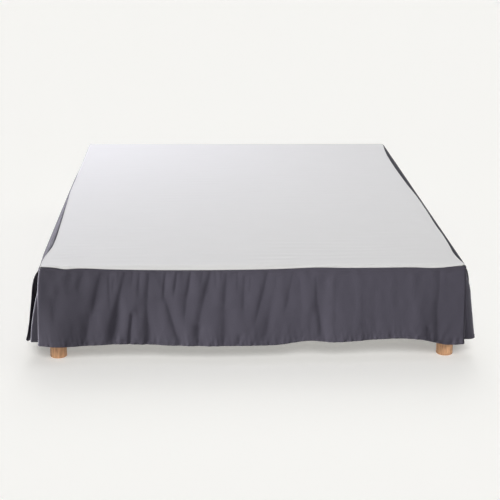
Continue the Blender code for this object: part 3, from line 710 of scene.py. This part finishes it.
def add_node(tree, kind, *values, **settings):
    """A node with settings, its inputs in order joined to sockets or set to plain values."""
    node = tree.nodes.new(kind)
    for name, setting in settings.items():
        setattr(node, name, setting)
    for socket, value in zip(node.inputs, values):
        if isinstance(value, bpy.types.NodeSocket):
            tree.links.new(value, socket)
        else:
            socket.default_value = value
    return node


def maths(tree, operation, *values):
    return add_node(tree, "ShaderNodeMath", *values, operation=operation).outputs[0]


def noise(tree, place, scale, detail, roughness=0.5):
    """Uneven values from 0 to 1, with scale marks in a metre."""
    node = add_node(tree, "ShaderNodeTexNoise")
    tree.links.new(place, node.inputs["Vector"])
    node.inputs["Scale"].default_value = scale
    node.inputs["Detail"].default_value = detail
    node.inputs["Roughness"].default_value = roughness
    return node.outputs["Fac"]


def plain_weave():
    """Over and under threads: place on the cloth in metres, threads in a metre, and unevenness."""
    tree, given, result = new_group(
        "plain_weave", {"Place": None, "Threads": 1200.0, "Unevenness": 0.3},
        {"Height": "NodeSocketFloat"})
    axes = add_node(tree, "ShaderNodeSeparateXYZ", given.outputs["Place"])
    turns = maths(tree, "MULTIPLY", given.outputs["Threads"], math.pi)
    across = maths(tree, "SINE", maths(tree, "MULTIPLY", axes.outputs["X"], turns))
    down = maths(tree, "SINE", maths(tree, "MULTIPLY", axes.outputs["Y"], turns))
    crossing = maths(tree, "MULTIPLY", across, down)
    marks = noise(tree, given.outputs["Place"], SLUBS_PER_METRE, detail=2.0)
    slub = maths(tree, "MULTIPLY", maths(tree, "SUBTRACT", marks, 0.5), given.outputs["Unevenness"])
    height = maths(tree, "MULTIPLY_ADD", crossing, THREAD_RELIEF, 0.5)
    tree.links.new(maths(tree, "ADD", height, slub), result.inputs["Height"])
    return tree


def cloth_tone():
    """Uneven tone of dyed cloth, about 1: fine flecks, and clouds that change slowly across it."""
    tree, given, result = new_group(
        "cloth_tone", {"Place": None, "Flecks": 0.10, "Clouds": 0.06}, {"Tone": "NodeSocketFloat"})
    place = given.outputs["Place"]
    fine = maths(tree, "SUBTRACT", noise(tree, place, FLECKS_PER_METRE, 3.0, roughness=0.65), 0.5)
    slow = maths(tree, "SUBTRACT", noise(tree, place, CLOUDS_PER_METRE, 3.0), 0.5)
    flecks = maths(tree, "MULTIPLY", fine, given.outputs["Flecks"])
    clouds = maths(tree, "MULTIPLY", slow, given.outputs["Clouds"])
    tone = maths(tree, "ADD", maths(tree, "ADD", flecks, clouds), 1.0)
    tree.links.new(tone, result.inputs["Tone"])
    return tree


class Finish:
    """A material under construction, with its Principled shader."""

    def __init__(self, name, roughness):
        self.material = bpy.data.materials.new(name)
        self.material.use_nodes = True
        self.tree = self.material.node_tree
        self.shader = self.tree.nodes["Principled BSDF"]
        self.set("Roughness", roughness)

    def set(self, input_name, value):
        self.shader.inputs[input_name].default_value = value

    def join(self, output, input_name):
        self.tree.links.new(output, self.shader.inputs[input_name])

    def group(self, group, place, **values):
        """A shared effect in this material, with its own values."""
        node = self.tree.nodes.new("ShaderNodeGroup")
        node.node_tree = group
        self.tree.links.new(place, node.inputs["Place"])
        for label, value in values.items():
            node.inputs[label].default_value = value
        return node.outputs[0]

    def cut_place(self):
        """Place on the cut cloth, in metres."""
        return self.tree.nodes.new("ShaderNodeUVMap").outputs["UV"]

    def object_place(self):
        return self.tree.nodes.new("ShaderNodeTexCoord").outputs["Object"]

    def tint(self, colour, tone):
        """Gives the shader a colour that a tone about 1 makes lighter and darker."""
        node = add_node(self.tree, "ShaderNodeVectorMath", colour, operation="SCALE")
        self.tree.links.new(tone, node.inputs["Scale"])
        self.join(node.outputs[0], "Base Color")

    def bump(self, height, distance, strength):
        node = self.tree.nodes.new("ShaderNodeBump")
        node.inputs["Distance"].default_value = distance
        node.inputs["Strength"].default_value = strength
        self.tree.links.new(height, node.inputs["Height"])
        self.join(node.outputs["Normal"], "Normal")


def skirt_finish(weave, tone):
    finish = Finish("charcoal_cotton", 0.85)
    place = finish.cut_place()
    finish.tint(SKIRT_COLOUR, finish.group(tone, place, Flecks=0.50, Clouds=0.10))
    finish.bump(finish.group(weave, place, Threads=1100.0, Unevenness=0.5), distance=0.0002, strength=0.6)
    finish.set("Sheen Weight", 0.35)
    finish.set("Sheen Roughness", 0.35)
    finish.set("Sheen Tint", SKIRT_SHEEN)
    finish.set("Specular IOR Level", 0.35)
    return finish.material


def deck_finish(tone):
    finish = Finish("white_non_woven", 0.62)
    shade = finish.group(tone, finish.cut_place(), Flecks=0.05, Clouds=0.03)
    finish.tint(DECK_COLOUR, shade)
    finish.bump(shade, distance=0.001, strength=0.3)
    return finish.material


def base_finish(weave, tone):
    finish = Finish("base_linen", 0.9)
    place = finish.object_place()
    finish.tint(BASE_COLOUR, finish.group(tone, place, Flecks=0.20, Clouds=0.05))
    finish.bump(finish.group(weave, place, Threads=600.0, Unevenness=0.5), distance=0.0003, strength=0.6)
    return finish.material


def wood_finish():
    """Beech, with its grain drawn out along the foot."""
    finish = Finish("beech", 0.45)
    stretch = add_node(finish.tree, "ShaderNodeMapping", finish.object_place())
    stretch.inputs["Scale"].default_value = GRAIN_STRETCH
    grain = noise(finish.tree, stretch.outputs["Vector"], GRAINS_PER_METRE, detail=4.0, roughness=0.6)
    ramp = add_node(finish.tree, "ShaderNodeValToRGB", grain)
    for stop, tone in zip(ramp.color_ramp.elements, WOOD_TONES):
        stop.position = tone.position
        stop.color = tone.colour
    finish.join(ramp.outputs["Color"], "Base Color")
    finish.bump(grain, distance=0.0003, strength=0.4)
    return finish.material


def floor_finish():
    """Plain pale floor, with a slight glow that keeps the shadows on it soft."""
    finish = Finish("studio_floor", 1.0)
    finish.set("Specular IOR Level", 0.0)
    finish.set("Base Color", FLOOR_COLOUR)
    finish.set("Emission Color", FLOOR_GLOW)
    finish.set("Emission Strength", 0.280)
    return finish.material


# ------------------------------------------------------------------------------------------------
# Studio
# ------------------------------------------------------------------------------------------------

CAMERA_PLACE = Vector((-0.1677, -4.7193, 1.547))
CAMERA_LENS = 87.84
CAMERA_DOWN = math.radians(17.07)
CAMERA_RIGHT = math.radians(2.39)
CAMERA_ROLL = math.radians(0.46)
FLOOR_HALF = 60.0
SKY_COLOUR = (1.0, 0.99, 0.975, 1.0)
SKY_STRENGTH = 0.09

# Suns: power, softness in degrees, where each shines from (along, back and up), and what it is
# kept off. The overhead ones and front_soft light the floor as well, and each of the others is for
# the deck, the skirt or the feet.
Sun = namedtuple("Sun", "name power softness shines_from kept_off")
SUNS = (
    Sun("overhead", 0.21, 32.0, (1.10, 0.10, 1.00), ("right_drop", "feet")),
    Sun("overhead", 0.29, 32.0, (-0.30, 0.50, 1.00), ("right_drop", "feet")),
    Sun("overhead", 0.30, 32.0, (0.30, 0.50, 1.00), ("right_drop", "feet")),
    Sun("overhead", 0.61, 32.0, (0.00, 1.15, 1.00), ("right_drop", "feet")),
    Sun("above", 0.50, 32.0, (0.10, -0.10, 1.00), ("floor", "right_drop", "feet")),
    Sun("front", 2.35, 11.0, (-0.02, -0.80, 0.60), ("floor", "feet", "skirt")),
    Sun("under_hem", 0.66, 25.0, (-0.10, -0.99, 0.10), ("floor", "deck", "base", "skirt")),
    Sun("front_soft", 1.84, 24.0, (0.00, -0.90, 0.75), ("deck", "skirt")),
    Sun("left_rake", 12.5, 20.0, (-0.94, -0.25, 0.08), ("floor", "deck", "base", "right_drop", "feet")),
    Sun("left_rim", 15.0, 14.0, (-0.90, 0.50, 0.12),
        ("floor", "deck", "base", "left_drop", "right_drop", "feet")),
    Sun("right_side", 3.4, 20.0, (0.97, -0.15, 0.06),
        ("floor", "deck", "foot_drop", "left_drop", "left_pleat", "feet")),
)

# Lamps: power, beam in degrees, where each hangs and what it points at, its colour, and what it is
# kept off.
Lamp = namedtuple("Lamp", "name power beam hangs_at points_at colour kept_off")
LAMPS = (
    Lamp("front_fill", 5.2, 85.0, (0.20, -2.00, 0.60), (0.10, -0.95, 0.20), (1.0, 1.0, 1.0),
         ("floor", "deck", "left_drop", "left_pleat", "right_drop", "feet")),
    Lamp("back_window", 10.6, 70.0, (-1.75, 2.60, 2.40), (-0.45, 0.80, 0.33), (0.84, 0.84, 1.0),
         ("floor", "right_drop")),
)
LAMP_SIZE = 1.2


def make_camera():
    """Looks at the bed from beyond its foot, a little down on it."""
    camera = bpy.data.objects.new("camera", bpy.data.cameras.new("camera"))
    bpy.context.scene.collection.objects.link(camera)
    camera.data.lens = CAMERA_LENS
    facing = Matrix.Rotation(-CAMERA_RIGHT, 4, "Z")
    level = facing @ Matrix.Rotation(math.pi / 2 - CAMERA_DOWN, 4, "X")
    camera.matrix_world = Matrix.Translation(CAMERA_PLACE) @ level @ Matrix.Rotation(CAMERA_ROLL, 4, "Z")
    bpy.context.scene.camera = camera


def make_floor():
    mesh = bpy.data.meshes.new("floor")
    corners = [(-FLOOR_HALF, -FLOOR_HALF, 0), (FLOOR_HALF, -FLOOR_HALF, 0),
               (FLOOR_HALF, FLOOR_HALF, 0), (-FLOOR_HALF, FLOOR_HALF, 0)]
    mesh.from_pydata(corners, [], [(0, 1, 2, 3)])
    mesh.materials.append(floor_finish())
    floor = bpy.data.objects.new("floor", mesh)
    bpy.context.scene.collection.objects.link(floor)
    return floor


def keep_off(light, shaded):
    """Flags a light off some objects, such as the floor, so that it falls on the rest alone."""
    flag = bpy.data.collections.new(light.name + "_flag")
    for item in shaded:
        flag.objects.link(item)
    light.light_linking.receiver_collection = flag
    for entry in flag.collection_objects:
        entry.light_linking.link_state = "EXCLUDE"


def add_light(name, kind, power, backward):
    """A light that shines along its own -Z, away from the direction backward."""
    light = bpy.data.objects.new(name, bpy.data.lights.new(name, kind))
    light.data.energy = power
    light.rotation_mode = "QUATERNION"
    light.rotation_quaternion = Vector(backward).to_track_quat("Z", "Y")
    bpy.context.scene.collection.objects.link(light)
    return light


def add_sun(sun):
    light = add_light(sun.name, "SUN", sun.power, sun.shines_from)
    light.data.angle = math.radians(sun.softness)
    return light


def add_lamp(lamp):
    backward = Vector(lamp.hangs_at) - Vector(lamp.points_at)
    light = add_light(lamp.name, "AREA", lamp.power, backward)
    light.location = lamp.hangs_at
    light.data.size = LAMP_SIZE
    light.data.spread = math.radians(lamp.beam)
    light.data.color = lamp.colour
    return light


def make_sky():
    """Faint even light from all round."""
    world = bpy.data.worlds.new("studio")
    bpy.context.scene.world = world
    world.use_nodes = True
    sky = world.node_tree.nodes["Background"]
    sky.inputs["Color"].default_value = SKY_COLOUR
    sky.inputs["Strength"].default_value = SKY_STRENGTH


def make_lights(lit):
    """Makes every light, and keeps it off the things that it names."""
    for sun in SUNS:
        keep_off(add_sun(sun), [item for name in sun.kept_off for item in lit[name]])
    for lamp in LAMPS:
        keep_off(add_lamp(lamp), [item for name in lamp.kept_off for item in lit[name]])


def dress_base(weave, tone):
    """Covers the bed base in linen."""
    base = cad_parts["base"]
    base.material_slots[0].material = base_finish(weave, tone)
    return base


def dress_feet():
    """Gives the four feet their beech."""
    wood = wood_finish()
    feet = [node for name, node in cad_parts.items() if name.startswith("foot_")]
    for foot in feet:
        foot.material_slots[0].material = wood
    return feet


def main():
    make_camera()
    weave = plain_weave()
    tone = cloth_tone()
    cloth = skirt_finish(weave, tone)
    skirt = [
        make_foot_drop(cloth),
        make_side_drop("left_drop", "drop_left", LEFT_DROP, LEFT_SEAM, -1.0, cloth),
        make_side_drop("right_drop", "drop_right", RIGHT_DROP, RIGHT_SEAM, 1.0, cloth),
        make_pleat("left_pleat", "pleat_left", LEFT_BELL, -1.0, cloth),
        make_pleat("right_pleat", "pleat_right", RIGHT_BELL, 1.0, cloth),
    ]
    deck = make_deck(deck_finish(tone))
    base = dress_base(weave, tone)
    feet = dress_feet()
    lit = {"floor": [make_floor()], "deck": [deck], "base": [base], "feet": feet, "skirt": skirt}
    lit.update((sheet.name, [sheet]) for sheet in skirt)
    bpy.context.scene.view_settings.view_transform = "Standard"
    make_sky()
    make_lights(lit)


main()
